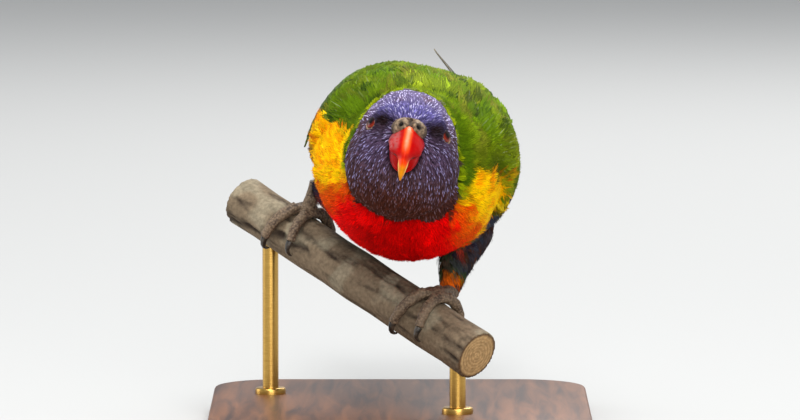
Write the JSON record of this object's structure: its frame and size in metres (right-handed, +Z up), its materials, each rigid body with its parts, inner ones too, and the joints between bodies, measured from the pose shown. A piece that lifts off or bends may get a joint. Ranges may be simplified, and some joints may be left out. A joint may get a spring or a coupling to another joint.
{
  "type": "rainbow lorikeet model",
  "caption": "Life-size still model of a small parrot crouched on a sloping cut branch, held by rods over a flat base.",
  "frame": {"origin": "centre of the flat underside of the stand's base", "axes": "+Z up, the bird looks along -Y, its tail runs to +Y and its left side is at +X"},
  "size_m": [0.122, 0.2795, 0.1192],
  "materials": {
    "head_feathers": "dense lance-shaped feathers with pale shafts",
    "collar_feathers": "soft overlapping feathers",
    "body_feathers": "overlapping contour feathers with loose barbs",
    "wing_feathers": "overlapping contour feathers",
    "flight_feathers": "close vanes with a slight sheen",
    "leg_feathers": "short loose feathers",
    "bare_skin": "finely scaled dry skin",
    "claw_horn": "dark polished horn",
    "bill_horn": "semi-gloss horn",
    "cere_skin": "bare matt skin",
    "eye": "wet gloss",
    "bark": "rough dry bark",
    "base_wood": "satin varnished",
    "rod_metal": "brushed"
  },
  "bodies": {
    "root": {"head": "head_feathers", "neck": "collar_feathers", "torso": "body_feathers", "wing_left_coverts": "wing_feathers", "wing_left_secondaries": "flight_feathers", "wing_left_primaries": "flight_feathers", "thigh_left": "leg_feathers", "shank_left": "bare_skin", "toe_left_front_outer": "bare_skin", "claw_left_front_outer": "claw_horn", "toe_left_front_inner": "bare_skin", "claw_left_front_inner": "claw_horn", "toe_left_back_outer": "bare_skin", "claw_left_back_outer": "claw_horn", "toe_left_back_inner": "bare_skin", "claw_left_back_inner": "claw_horn", "wing_right_coverts": "wing_feathers", "wing_right_secondaries": "flight_feathers", "wing_right_primaries": "flight_feathers", "thigh_right": "leg_feathers", "shank_right": "bare_skin", "toe_right_front_outer": "bare_skin", "claw_right_front_outer": "claw_horn", "toe_right_front_inner": "bare_skin", "claw_right_front_inner": "claw_horn", "toe_right_back_outer": "bare_skin", "claw_right_back_outer": "claw_horn", "toe_right_back_inner": "bare_skin", "claw_right_back_inner": "claw_horn", "tail": "flight_feathers", "bill_upper": "bill_horn", "bill_lower": "bill_horn", "cere": "cere_skin", "eye_left": "eye", "eye_right": "eye", "perch": "bark", "stand_base": "base_wood", "stand_rod_low": "rod_metal", "stand_rod_high": "rod_metal"}
  },
  "joints": []
}
